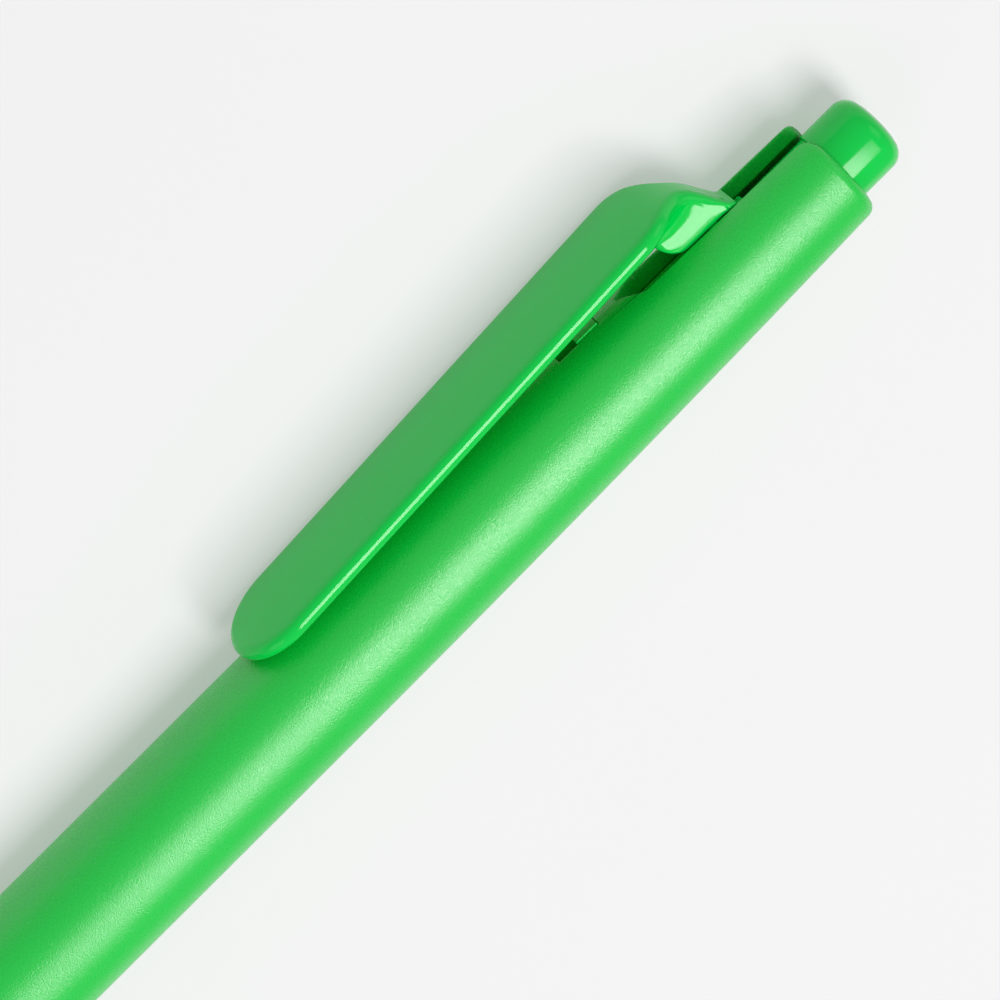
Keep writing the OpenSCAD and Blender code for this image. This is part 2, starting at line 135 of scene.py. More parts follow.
class ClipSizes(bpy.types.PropertyGroup):
    """Sizes of the clip"""
    width: length("Width", "Width of the paddle", 11)
    thickness: length("Thickness", "Thickness of the paddle", 1.9)
    tip_gap: length("Tip distance", "Distance from the rim to the front tip", 64.35)
    tip_out: length("Tip height", "Height of the outer face over the axis at the tip", 8.24)
    hump_gap: length("Hump distance", "Distance from the rim to where the rise ends", 16.6)
    hump_out: length("Hump height", "Height of the outer face over the axis there", 10.78)
    hump_radius: length("Hump radius", "Radius of the flat arc along the hump", 15)
    turn_radius: length("Turn radius", "Radius of the arc down to the arm", 5.3)
    arm_width: length("Arm width", "Width of the arm that stands in the slot", 3.5)
    arm_gap: length("Arm distance", "Distance from the rim to the arm's front", 16)
    arm_front: length("Arm front", "Length over which the arm's front curves to its foot", 2.6)
    arm_floor: length("Arm floor", "Height of the arm's lower face over the axis", 4.8)
    arm_foot: length("Arm foot", "Height over the axis where the arm's back starts to flare", 5.7)
    arm_edge: length("Arm front edge", "Rounding of the arm's front edges", 0.8)
    arm_round: length("Arm back edge", "Rounding of the arm's back edges", 0.8)
    flare_radius: length("Flare radius", "Radius of the flare behind the arm's foot", 1.3)
    hip_gap: length("Hip distance", "Distance from the rim to where the width draws in", 16.9)
    hip_radius: length("Hip radius", "Radius of the plan where the width draws in", 4.5)
    hip_blend: length("Hip blend", "Radius of the plan where the width meets the arm", 2)
    ridge: length("Ridge", "Depth of the paddle's edge where it meets the arm", 1.4)
    fillet_foot: length("Fillet foot", "Height over the axis where the arm's sides get flat", 7.6)
    top_round: length("Top rounding", "Rounding of the outer edge all round the paddle", 0.85)
    under_round: length("Under rounding", "Rounding of the inner edge of the paddle", 0.85)
    crown: length("Crown", "How far the outer face falls from its middle to its edges", 0.36)
    hump_turn: slope("Hump turn", "Slope at the end of the hump's flat arc", 6)
    arm_slope: slope("Arm slope", "Slope of the arm's back", 62)
    flare_slope: slope("Flare slope", "Slope at the end of the flare", 25)
    arm_draft: slope("Arm draft", "Lean of the arm's sides towards its foot", 1.2)
    hip_angle: slope("Hip angle", "Angle at which the width draws in", 47)


class ButtonSizes(bpy.types.PropertyGroup):
    """Sizes of the push button"""
    radius: length("Radius", "Radius of the button behind the rim", 3.67)
    skirt_radius: length("Skirt radius", "Radius of the skirt inside the barrel", 3.45)
    end_round: length("End rounding", "Rounding of the button's end", 1.6)
    dome: length("Dome", "How far the middle of the end stands out", 0.22)
    socket: length("Socket", "Radius of the socket that the plunger is pressed into", 2.3)


class Finishes(bpy.types.PropertyGroup):
    """Colours and finishes of the pieces"""
    matte_green: tint("Matte green", "Colour of the barrel", (0.001, 0.545, 0.05))
    gloss_green: tint("Gloss green", "Colour of the clip and the button", (0.0, 0.56, 0.062))
    ink_green: tint("Ink green", "Colour of the nib and the ink core", (0.12, 0.8, 0.06))
    natural: tint("Natural", "Colour of the unpainted mouldings", (0.8, 0.82, 0.78))


GROUPS = (("barrel_sizes", BarrelSizes), ("clip_sizes", ClipSizes),
          ("button_sizes", ButtonSizes), ("finishes", Finishes))


# Modelling helpers

def deselect():
    """Nothing is selected or active, as the next operator needs."""
    if bpy.context.object and bpy.context.object.mode != "OBJECT":
        bpy.ops.object.mode_set(mode="OBJECT")
    bpy.ops.object.select_all(action="DESELECT")


def pick(obj):
    """Selects one object and makes it active."""
    deselect()
    obj.select_set(True)
    bpy.context.view_layer.objects.active = obj


def select_vertices(obj, test):
    """Selects the vertices that pass the test, and the edges and faces between them."""
    bpy.ops.object.mode_set(mode="EDIT")
    bpy.ops.mesh.select_mode(type="VERT")
    bpy.ops.mesh.select_all(action="DESELECT")
    bpy.ops.object.mode_set(mode="OBJECT")
    for vertex in obj.data.vertices:
        vertex.select = test(vertex.co)
    bpy.ops.object.mode_set(mode="EDIT")


def arc(x, y, radius, start, end, steps):
    """Points of an arc, with angles in degrees, as pairs."""
    angles = [math.radians(start + (end - start) * i / steps) for i in range(steps + 1)]
    return [(x + radius * math.cos(a), y + radius * math.sin(a)) for a in angles]


def fall(radius, distance):
    """How far a circle falls below its level point at a distance from it."""
    return radius - math.sqrt(max(0.0, radius * radius - distance * distance))


def arc_radius(drop, distance):
    """Radius of the arc that falls by drop over distance from its level point."""
    return (drop * drop + distance * distance) / (2 * drop)


def trace(name, points, closed):
    """A line through the points, drawn in edit mode, left in edit mode and selected."""
    deselect()
    bpy.ops.mesh.primitive_plane_add(size=MM, location=points[0])
    obj = bpy.context.object
    obj.name = obj.data.name = name
    bpy.ops.object.mode_set(mode="EDIT")
    bpy.ops.mesh.merge(type="CENTER")
    for start, end in zip(points, points[1:]):
        bpy.ops.mesh.extrude_region_move(TRANSFORM_OT_translate={"value": end - start})
    if closed:
        last = points[-1] - points[0]
        select_vertices(obj, lambda co: min(co.length, (co - last).length) < TOUCH)
        bpy.ops.mesh.edge_face_add()
    select_vertices(obj, lambda co: True)
    return obj


def tidy(obj, angle=SMOOTH_ANGLE):
    """Puts the place into the mesh, closes seams, points faces outwards and smooths the shading."""
    pick(obj)
    bpy.ops.object.transform_apply(location=True, rotation=True, scale=True)
    bpy.ops.object.mode_set(mode="EDIT")
    bpy.ops.mesh.select_all(action="SELECT")
    bpy.ops.mesh.remove_doubles(threshold=WELD)
    bpy.ops.mesh.normals_make_consistent(inside=False)
    bpy.ops.object.mode_set(mode="OBJECT")
    bpy.ops.object.shade_smooth_by_angle(angle=math.radians(angle))
    return obj


def turned(name, outline, closed=True, steps=DETAIL):
    """Spins an outline of (x, radius) points about the barrel's axis."""
    points = [place(x, radius) for x, radius in outline]
    obj = trace(name, points, closed)
    bpy.ops.mesh.spin(steps=steps, angle=2 * math.pi, center=AXIS, axis=(1, 0, 0))
    return tidy(obj)


def slab(name, points, thickness_vector):
    """A plate: a flat outline filled and extruded."""
    obj = trace(name, points, closed=True)
    bpy.ops.mesh.edge_face_add()
    bpy.ops.mesh.extrude_region_move(TRANSFORM_OT_translate={"value": thickness_vector})
    return tidy(obj)


def apply_modifier(obj, kind, **settings):
    """Adds a modifier, sets it and applies it."""
    pick(obj)
    modifier = obj.modifiers.new(kind.title(), kind)
    for key, value in settings.items():
        setattr(modifier, key, value)
    bpy.ops.object.modifier_apply(modifier=modifier.name)


def combine(obj, others, operation):
    """Adds or cuts other closed shapes, which are then gone."""
    for other in others:
        apply_modifier(obj, "BOOLEAN", object=other, operation=operation, solver="EXACT")
        bpy.data.objects.remove(other)
    return obj


def ease_edges(obj, width, segments=3, angle=SMOOTH_ANGLE):
    """Rounds every edge sharper than the angle, and keeps the large faces' shading flat."""
    apply_modifier(obj, "BEVEL", width=width, segments=segments, limit_method="ANGLE",
                   angle_limit=math.radians(angle), use_clamp_overlap=False,
                   harden_normals=False, miter_outer="MITER_ARC")
    weigh_normals(obj)


def weigh_normals(obj):
    """Lets the large faces set the shading along the small rounded edges."""
    tidy(obj)
    apply_modifier(obj, "WEIGHTED_NORMAL", mode="FACE_AREA", weight=80, keep_sharp=True)


def finish_piece(obj, material, body, slot, *nodes):
    """Gives the piece its material and its body, and hides the CAD nodes that it stands for."""
    obj.data.materials.clear()
    obj.data.materials.append(material)
    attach(obj, body)
    if nodes:
        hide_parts(*nodes)


# Materials

class Shader:
    """One procedural material, put together node by node on Object coordinates."""

    def __init__(self, name, **inputs):
        self.material = bpy.data.materials.new(name)
        self.material.use_nodes = True
        self.nodes = self.material.node_tree.nodes
        self.links = self.material.node_tree.links
        self.surface = self.nodes["Principled BSDF"]
        for key, value in inputs.items():
            self.surface.inputs[key.replace("_", " ")].default_value = value
        self.coordinates = self.nodes.new("ShaderNodeTexCoord")

    def add(self, kind, links=(), **values):
        """A node, with the outputs linked to its inputs and its values set."""
        node = self.nodes.new(kind)
        for key, value in values.items():
            if key in node.inputs:
                node.inputs[key].default_value = value
            else:
                setattr(node, key, value)
        for key, output in links:
            self.links.new(output, node.inputs[key])
        return node

    def stretched(self, scale):
        """Object coordinates scaled per axis."""
        node = self.add("ShaderNodeMapping", [("Vector", self.coordinates.outputs["Object"])])
        node.inputs["Scale"].default_value = scale
        return node.outputs["Vector"]

    def noise(self, scale, detail=2.0, roughness=0.5, vector=None):
        """A noise pattern as a value from 0 to 1. Scale is in patches to the metre."""
        source = vector or self.coordinates.outputs["Object"]
        node = self.add("ShaderNodeTexNoise", [("Vector", source)],
                        Scale=scale, Detail=detail, Roughness=roughness)
        return node.outputs["Fac"]

    def spread(self, value, low, high):
        """The value, spread from low to high."""
        node = self.add("ShaderNodeMapRange", [("Value", value)])
        node.inputs["From Min"].default_value = NOISE_LOW
        node.inputs["From Max"].default_value = NOISE_HIGH
        node.inputs["To Min"].default_value = low
        node.inputs["To Max"].default_value = high
        return node.outputs["Result"]

    def colour(self, value, dark, light):
        """A colour between dark and light, set on the surface."""
        node = self.add("ShaderNodeMix", data_type="RGBA")
        for socket in node.inputs:
            if socket.type == "RGBA" and socket.name in ("A", "B"):
                socket.default_value = (*(dark if socket.name == "A" else light), 1.0)
        self.links.new(value, node.inputs["Factor"])
        self.links.new(node.outputs[2], self.surface.inputs["Base Color"])

    def rough(self, value, low, high):
        """Roughness between low and high."""
        self.links.new(self.spread(value, low, high), self.surface.inputs["Roughness"])

    def bump(self, value, height, strength=1.0):
        """Relief of that height in metres."""
        node = self.add("ShaderNodeBump", [("Height", value)], Strength=strength)
        node.inputs["Distance"].default_value = height
        self.links.new(node.outputs["Normal"], self.surface.inputs["Normal"])


def shade(colour, factor):
    """A colour made darker or lighter."""
    return tuple(min(1.0, c * factor) for c in colour)


def matte_green():
    """Green plastic moulded with a fine spark-eroded grain."""
    green = bpy.context.scene.finishes.matte_green
    shader = Shader("matte_green_grain", Specular_IOR_Level=0.8)
    grain = shader.noise(6000.0, detail=3.0, roughness=0.6)
    clouds = shader.noise(90.0)
    shader.colour(clouds, shade(green, 0.96), shade(green, 1.04))
    shader.rough(grain, 0.2, 0.42)
    shader.bump(grain, 0.034 * MM)
    return shader.material


def gloss_green():
    """The same green, polished, with faint flow marks."""
    green = bpy.context.scene.finishes.gloss_green
    shader = Shader("gloss_green_moulding", Specular_IOR_Level=0.38)
    flow = shader.noise(60.0, vector=shader.stretched((0.3, 1.0, 1.0)))
    fine = shader.noise(1800.0, detail=1.0)
    shader.colour(flow, shade(green, 0.97), shade(green, 1.03))
    shader.rough(flow, 0.1, 0.14)
    shader.bump(fine, 0.0015 * MM)
    return shader.material


def natural_plastic():
    """Unpainted milky plastic."""
    natural = bpy.context.scene.finishes.natural
    shader = Shader("natural_moulding", Subsurface_Weight=0.1, Subsurface_Scale=0.5 * MM)
    flow = shader.noise(150.0)
    shader.colour(flow, shade(natural, 0.94), natural)
    shader.rough(flow, 0.35, 0.5)
    shader.bump(shader.noise(3000.0), 0.01 * MM)
    return shader.material


def clear_tube():
    """Milky tube that the ink core shows through."""
    shader = Shader("milky_tube", Transmission_Weight=0.55, IOR=1.49)
    flow = shader.noise(120.0, vector=shader.stretched((0.1, 1.0, 1.0)))
    shader.colour(flow, (0.86, 0.9, 0.86), (0.93, 0.95, 0.93))
    shader.rough(flow, 0.25, 0.4)
    shader.bump(shader.noise(1500.0), 0.004 * MM)
    return shader.material


def film():
    """Thin clear film with a few wrinkles along its length."""
    shader = Shader("clear_film", Transmission_Weight=0.8, IOR=1.5)
    wrinkle = shader.noise(400.0, vector=shader.stretched((0.08, 1.0, 1.0)))
    shader.colour(wrinkle, (0.9, 0.93, 0.9), (0.97, 0.98, 0.97))
    shader.rough(wrinkle, 0.08, 0.2)
    shader.bump(wrinkle, 0.03 * MM)
    return shader.material


def ink_fibre():
    """Bonded fibre soaked with ink, with its strands along the pen."""
    ink = bpy.context.scene.finishes.ink_green
    shader = Shader("ink_fibre", Sheen_Weight=0.15)
    strands = shader.noise(4000.0, detail=3.0, vector=shader.stretched((0.05, 1.0, 1.0)))
    shader.colour(strands, shade(ink, 0.75), shade(ink, 1.1))
    shader.rough(strands, 0.55, 0.8)
    shader.bump(strands, 0.05 * MM)
    return shader.material


def spring_steel():
    """Drawn spring wire."""
    shader = Shader("drawn_wire", Metallic=1.0)
    draw = shader.noise(2500.0, detail=2.0)
    shader.colour(draw, (0.5, 0.5, 0.52), (0.68, 0.68, 0.7))
    shader.rough(draw, 0.22, 0.4)
    shader.bump(draw, 0.004 * MM)
    return shader.material


def seal_rubber():
    """Dark moulded rubber."""
    shader = Shader("seal_rubber", Specular_IOR_Level=0.3)
    grain = shader.noise(2500.0)
    shader.colour(grain, (0.016, 0.016, 0.017), (0.03, 0.03, 0.031))
    shader.rough(grain, 0.5, 0.7)
    shader.bump(grain, 0.01 * MM)
    return shader.material


def pale_floor():
    """Plain pale table, with a trace of paper tooth."""
    shader = Shader("pale_floor", Specular_IOR_Level=0.0, Emission_Color=(1, 1, 1, 1),
                    Emission_Strength=0.36)
    tooth = shader.noise(40.0, detail=4.0)
    shader.colour(tooth, (0.461, 0.458, 0.461), (0.467, 0.464, 0.467))
    shader.rough(tooth, 0.85, 0.95)
    return shader.material


MADE = {}


def finish(maker):
    """The material of that maker, made once."""
    if maker not in MADE:
        MADE[maker] = maker()
    return MADE[maker]


# Shapes of the barrel

OGEE_STEPS = 14
CORNER_STEPS = 9
STRAIGHT_STEPS = 6
TAPER_STEPS = 14
RIM_STEPS = 8
TIP_FLAT = 0.6 * MM             # the slot's front tip is cut blunt this far from its point
BORE_STEP = 33.5 * MM           # from the rim to where the rear bore ends
SOCKET_DEPTH = 10 * MM          # from the front joint to the socket's floor
FIT_GAP = 0.05 * MM             # between the front section's spigot and its socket


def slot_half(x, sizes):
    """Half the width of the slot at x."""
    corner_x = RIM_X - sizes.slot_corner
    full_x = RIM_X - sizes.slot_full
    half = sizes.slot_width / 2
    if x > corner_x:
        return half + fall(sizes.slot_corner, min(x, RIM_X) - corner_x)
    if x > full_x:
        return half
    return half / 2 * (1 + math.cos(math.pi * (full_x - x) / sizes.slot_ogee))


def slot_stations(sizes):
    """Where along the barrel the slot's outline has a point."""
    tip_x = RIM_X - sizes.slot_full - sizes.slot_ogee
    ogee = [tip_x + TIP_FLAT + (sizes.slot_ogee - TIP_FLAT) * i / OGEE_STEPS
            for i in range(OGEE_STEPS + 1)]
    corner_x = RIM_X - sizes.slot_corner
    corner = [corner_x + sizes.slot_corner * math.sin(math.radians(90 * i / CORNER_STEPS))
              for i in range(CORNER_STEPS + 1)]
    return ogee + corner + [RIM_X + MM]


def slot_cutter(sizes):
    """The shape that is cut out of the barrel for the clip's arm."""
    near = [(x, slot_half(x, sizes)) for x in slot_stations(sizes)]
    far = [(x, -half) for x, half in reversed(near)]
    points = [place(x, MM, across) for x, across in near + far]
    return slab("slot_cutter", points, OUT * (BODY_R + MM))


def window_cutter(sizes):
    """The shape that is cut out of the barrel for the snap catch."""
    rear = RIM_X - sizes.window_gap
    half = sizes.window_width / 2
    corners = [(rear, half), (rear, -half), (rear - sizes.window_length, -half),
               (rear - sizes.window_length, half)]
    points = [place(x, MM, across) for x, across in corners]
    return slab("window_cutter", points, OUT * (BODY_R + MM))


class HIGHLIGHTER_OT_barrel(bpy.types.Operator):
    """Model the barrel with its slot and its snap window"""
    bl_idname = "highlighter.barrel"
    bl_label = "Barrel"

    def execute(self, context):
        sizes = context.scene.barrel_sizes
        joint_x = BARREL_LOW.x
        taper_x = RIM_X - sizes.taper_start
        arc_r = arc_radius(BODY_R - sizes.rim_radius, sizes.taper_start)
        seam = sizes.seam_round
        straight = [(joint_x + seam + (taper_x - joint_x - seam) * i / STRAIGHT_STEPS, BODY_R)
                    for i in range(STRAIGHT_STEPS)]
        reach = sizes.taper_start - sizes.rim_round
        along = [reach * i / TAPER_STEPS for i in range(TAPER_STEPS + 1)]
        taper = [(taper_x + distance, BODY_R - fall(arc_r, distance)) for distance in along]
        rim = arc(RIM_X - sizes.rim_round, sizes.rim_radius - sizes.rim_round,
                  sizes.rim_round, 80, 0, RIM_STEPS)
        step_x = RIM_X - BORE_STEP
        socket_x = joint_x + SOCKET_DEPTH
        lead = 0.15 * MM
        inside = [(RIM_X, sizes.rear_bore + lead), (RIM_X - lead, sizes.rear_bore),
                  (step_x, sizes.rear_bore), (step_x, sizes.front_bore),
                  (socket_x, sizes.front_bore), (socket_x, sizes.socket_bore),
                  (joint_x, sizes.socket_bore), (joint_x, BODY_R - seam)]
        obj = turned("barrel_shell", straight + taper + rim + inside)
        combine(obj, [slot_cutter(sizes), window_cutter(sizes)], "DIFFERENCE")
        ease_edges(obj, sizes.edge_round)
        finish_piece(obj, finish(matte_green), "barrel", "matte_green", "barrel")
        return {"FINISHED"}


class HIGHLIGHTER_OT_front(bpy.types.Operator):
    """Model the front section and the nose cone"""
    bl_idname = "highlighter.front"
    bl_label = "Front section and nose"

    def execute(self, context):
        sizes = context.scene.barrel_sizes
        joint_x = BARREL_LOW.x
        section_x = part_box("front_section")[0].x
        reach = joint_x - NOSE_X
        arc_r = arc_radius(BODY_R - sizes.mouth_radius, reach)
        seam = sizes.seam_round

        def outside(x):
            return BODY_R - fall(arc_r, joint_x - x)

        def curve(start, end, steps):
            stations = [start + (end - start) * i / steps for i in range(steps + 1)]
            return [(x, outside(x)) for x in stations]

        spigot_r = sizes.socket_bore - FIT_GAP
        spigot_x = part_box("front_section")[1].x
        pass_r = 3.7 * MM
        collar_rear, collar_front = NOSE_X + 21.8 * MM, NOSE_X + 20.2 * MM
        nose_socket_r, nose_spigot_r = 4.35 * MM, 4.3 * MM
        section = (
            [(section_x, outside(section_x) - seam)]
            + curve(section_x + seam, joint_x - seam, 14)
            + [(joint_x, BODY_R - seam), (joint_x, spigot_r), (spigot_x, spigot_r),
               (spigot_x, sizes.front_bore), (collar_rear, sizes.front_bore),
               (collar_rear, pass_r), (collar_front, pass_r),
               (collar_front, nose_socket_r), (section_x, nose_socket_r)])
        obj = turned("front_section_shell", section)
        finish_piece(obj, finish(matte_green), "barrel", "matte_green", "front_section")

        lip = 0.3 * MM
        spigot_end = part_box("nose_cone")[1].x
        chamber_r = 3.6 * MM
        chamber_x, mouth_x = NOSE_X + 7 * MM, NOSE_X + 5 * MM
        nose = (
            arc(NOSE_X + lip, outside(NOSE_X + lip) - lip, lip, 180, 96, 6)
            + curve(NOSE_X + lip, section_x - seam, 12)
            + [(section_x, outside(section_x) - seam), (section_x, nose_spigot_r),
               (spigot_end, nose_spigot_r), (spigot_end, chamber_r), (chamber_x, chamber_r),
               (mouth_x, sizes.mouth_bore), (NOSE_X + lip / 2, sizes.mouth_bore),
               (NOSE_X, sizes.mouth_bore + lip / 2)])
        obj = turned("nose_shell", nose)
        finish_piece(obj, finish(matte_green), "barrel", "matte_green", "nose_cone")
        return {"FINISHED"}


# Shapes of the clip

class ClipForm:
    """The clip's form at each distance along the pen, in the pen's own frame"""
    HUMP_STEPS, TURN_STEPS, SLOPE_STEPS, FLARE_STEPS = 8, 10, 6, 6
    TIP_STEPS, HIP_STEPS, FRONT_STEPS, ARM_STEPS = 24, 12, 8, 18
    CROWN_STEPS, EDGE_STEPS, UNDER_STEPS, FILLET_STEPS, WALL_STEPS = 7, 8, 3, 8, 3
    PROBE = 0.05 * MM           # half the distance over which the slope is taken
    FRONT_STRETCH = 1.25        # height of the arm's front curve to its length
    CROWN_LOSS = 0.8            # share of the crown that is gone on the arm
    DROP_LIMIT = 0.45           # share of the depth that the outer rounding may take
    EDGE_MARGIN = 1.05          # least depth of the edge to its outer rounding
    RIDGE_LEAD = 1.5            # how early, as the width draws in, the ridge is reached
    FLOOR_MARGIN = 0.06 * MM    # least height of the arm's wall over its lower face
    BEND = (0.3, 0.35)          # the fillet's middle point, across and down
    TOE = 0.3 * MM              # rounding of the arm's lower edges

    def __init__(self, sizes):
        self.sizes = sizes
        self.half = sizes.width / 2
        self.tip_x = RIM_X - sizes.tip_gap
        self.hump_x = RIM_X - sizes.hump_gap
        self.slope = (sizes.hump_out - sizes.tip_out) / (self.hump_x - self.tip_x)
        self.front_x = RIM_X - sizes.arm_gap
        self.line = self.outer_line()

    def outer_line(self):
        """The outer face's middle line behind the straight part, as (x, out) points."""
        sizes = self.sizes
        angle = math.atan(self.slope)
        x, out = self.hump_x, sizes.hump_out
        points = [(x, out)]
        turns = ((sizes.hump_radius, sizes.hump_turn, self.HUMP_STEPS),
                 (sizes.turn_radius, sizes.arm_slope, self.TURN_STEPS),
                 (0.0, sizes.arm_slope, self.SLOPE_STEPS),
                 (-sizes.flare_radius, sizes.flare_slope, self.FLARE_STEPS))
        for radius, end, steps in turns:
            if radius == 0.0:
                drop = out - sizes.arm_foot
                for i in range(1, steps + 1):
                    points.append((x + drop / math.tan(end) * i / steps, out - drop * i / steps))
            else:
                centre = (x + radius * math.sin(angle), out - radius * math.cos(angle))
                for i in range(1, steps + 1):
                    a = angle + (-end - angle) * i / steps
                    points.append((centre[0] - radius * math.sin(a),
                                   centre[1] + radius * math.cos(a)))
            angle = -end
            x, out = points[-1]
        return points

    def outer(self, x):
        """Height of the outer face's middle over the axis at x."""
        if x <= self.hump_x:
            return self.sizes.tip_out + self.slope * (x - self.tip_x)
        for (x0, out0), (x1, out1) in zip(self.line, self.line[1:]):
            if x <= x1:
                return out0 + (out1 - out0) * (x - x0) / (x1 - x0)
        return self.line[-1][1]

    def plan(self, x):
        """Half the width of the outer face at x, behind the tip."""
        sizes = self.sizes
        arm = sizes.arm_width / 2
        hip = sizes.hip_angle
        lead = x - (RIM_X - sizes.hip_gap)
        round_x = sizes.hip_radius * math.sin(hip)
        if lead <= 0:
            return self.half
        if lead <= round_x:
            return self.half - fall(sizes.hip_radius, lead)
        drawn = self.half - sizes.hip_radius * (1 - math.cos(hip))
        blend_drop = sizes.hip_blend * (1 - math.cos(hip))
        line_x = (drawn - arm - blend_drop) / math.tan(hip)
        if lead <= round_x + line_x:
            return drawn - (lead - round_x) * math.tan(hip)
        left = sizes.hip_blend * math.sin(hip) - (lead - round_x - line_x)
        return arm + fall(sizes.hip_blend, max(0.0, left))

    def arm_floor(self, x):
        """Height of the arm's front and lower face over the axis, or the paddle's underside."""
        sizes = self.sizes
        under = self.outer(x) - sizes.thickness
        lead = x - self.front_x
        if lead <= 0:
            return under
        radius = sizes.arm_front
        if lead >= radius:
            return sizes.arm_floor
        curve = sizes.arm_floor + sizes.arm_front * self.FRONT_STRETCH * (1 - math.sqrt(
            1 - (1 - lead / radius) ** 2))
        return min(under, curve)

    def arm_half(self, x):
        """Half the width of the arm's wall, rounded at its front edge."""
        sizes = self.sizes
        lead = min(max(x - self.front_x, 0.0), sizes.arm_edge)
        return sizes.arm_width / 2 - fall(sizes.arm_edge, sizes.arm_edge - lead)

    def steepness(self, x):
        """How much deeper than wide the outer rounding is, so that it stays round on a slope."""
        if x < self.line[self.HUMP_STEPS][0]:
            return 1.0
        drop = self.outer(x - self.PROBE) - self.outer(x + self.PROBE)
        return 1 / math.cos(min(self.sizes.arm_slope, math.atan(drop / (2 * self.PROBE))))

    def profile(self, x):
        """Half a section, from the middle of the outer face round to the middle of the floor.

        Each point is the distance from the middle line and the depth under the outer face."""
        sizes = self.sizes
        half = self.plan(x)
        arm = min(self.arm_half(x), half)
        drawn = (self.half - half) / (self.half - sizes.arm_width / 2)
        depth = self.outer(x) - self.arm_floor(x)
        steep = self.steepness(x)
        crown = sizes.crown * (1 - self.CROWN_LOSS * drawn)
        edge = sizes.top_round + (sizes.arm_round - sizes.top_round) * drawn ** 3
        drop = min(edge * steep, self.DROP_LIMIT * depth)
        thick = sizes.thickness + (sizes.ridge - sizes.thickness) * math.sin(
            math.pi / 2 * min(1.0, drawn * self.RIDGE_LEAD))
        thick = min(max(thick, drop * self.EDGE_MARGIN), depth)
        start = half - edge
        tilt = math.atan(2 * crown * start / half ** 2)
        start = half - edge * (1 - math.sin(tilt))
        base = crown * (start / half) ** 2
        inner = [start * i / self.CROWN_STEPS for i in range(self.CROWN_STEPS)]
        points = [(offset, crown * (offset / half) ** 2) for offset in inner]
        for i in range(self.EDGE_STEPS + 1):
            a = tilt + (math.pi / 2 - tilt) * i / self.EDGE_STEPS
            points.append((start + edge * (math.sin(a) - math.sin(tilt)),
                           base + drop * (math.cos(tilt) - math.cos(a))))
        under = min(sizes.under_round * (1 - drawn), max(0.0, thick - base - drop))
        for i in range(self.UNDER_STEPS + 1):
            a = math.pi / 2 * i / self.UNDER_STEPS
            points.append((half - under + under * math.cos(a),
                           max(points[-1][1], thick - under + under * math.sin(a))))
        wall = max(thick, min(self.outer(x) - sizes.fillet_foot, depth - self.FLOOR_MARGIN))
        wall = min(wall, depth)
        reach = points[-1][0]
        bend = (arm + self.BEND[0] * (reach - arm), thick + self.BEND[1] * (wall - thick))
        for i in range(1, self.FILLET_STEPS + 1):
            t = i / self.FILLET_STEPS
            weights = ((1 - t) ** 2, 2 * t * (1 - t), t * t)
            points.append((weights[0] * reach + weights[1] * bend[0] + weights[2] * arm,
                           weights[0] * thick + weights[1] * bend[1] + weights[2] * wall))
        toe = min(self.TOE, (depth - wall) / 2)
        flat = depth - toe - wall
        foot = arm - flat * math.tan(sizes.arm_draft)
        points += [(arm + (foot - arm) * i / self.WALL_STEPS, wall + flat * i / self.WALL_STEPS)
                   for i in range(1, self.WALL_STEPS + 1)]
        points += [(foot - toe + toe * math.cos(math.radians(a)),
                    depth - toe + toe * math.sin(math.radians(a))) for a in (30, 60, 90)]
        points += [((foot - toe) / 2, depth), (0.0, depth)]
        return points

    def rings(self):
        """The sections as closed rings of points, from the tip to the end of the flare."""
        centre_x = self.tip_x + self.half
        rays = [(centre_x, math.radians(180 - 90 * i / self.TIP_STEPS))
                for i in range(self.TIP_STEPS + 1)]
        hip_x = RIM_X - self.sizes.hip_gap
        stations = [centre_x + (hip_x - centre_x) * i / self.HIP_STEPS
                    for i in range(1, self.HIP_STEPS + 1)]
        front = self.front_x
        stations += [hip_x + (front - hip_x) * i / self.FRONT_STEPS
                     for i in range(1, self.FRONT_STEPS + 1)]
        turns = [math.radians(90 * i / self.ARM_STEPS) for i in range(1, self.ARM_STEPS + 1)]
        stations += [front + self.sizes.arm_front * (1 - math.cos(turn)) for turn in turns]
        stations += [x for x, out in self.line if x > stations[-1] + self.PROBE]
        rings = []
        for x, angle in rays + [(x, math.pi / 2) for x in stations]:
            near, far = [], []
            section = self.profile(x if angle <= math.pi / 2 else centre_x)
            for offset, depth in section:
                px = x + offset * math.cos(angle)
                across = offset * math.sin(angle)
                out = self.outer(px) - depth
                near.append(place(px, out, across))
                far.append(place(px, out, -across))
            rings.append(near + far[-2:0:-1])
        return rings


def lofted(name, rings):
    """A skin over closed rings of points, closed at its last ring. The first ring is shut."""
    deselect()
    count = len(rings[0])
    bpy.ops.mesh.primitive_grid_add(x_subdivisions=count, y_subdivisions=len(rings) - 1,
                                    size=MM)
    obj = bpy.context.object
    obj.name = obj.data.name = name
    for index, vertex in enumerate(obj.data.vertices):
        row, column = divmod(index, count + 1)
        vertex.co = rings[row][column % count]
    last = rings[-1]
    bpy.ops.object.mode_set(mode="EDIT")
    bpy.ops.mesh.select_all(action="SELECT")
    bpy.ops.mesh.remove_doubles(threshold=WELD)
    bpy.ops.object.mode_set(mode="OBJECT")
    select_vertices(obj, lambda co: co.x > last[0].x - TOUCH)
    bpy.ops.mesh.edge_face_add()
    return tidy(obj, angle=CLIP_SMOOTH_ANGLE)


def cross_rod(name, x, out, radius, width):
    """A round rod lying across the clip."""
    points = [place(x + dx, out + dy, -width / 2) for dx, dy in arc(0, 0, radius, 0, 345, 23)]
    return slab(name, points, ACROSS * width)


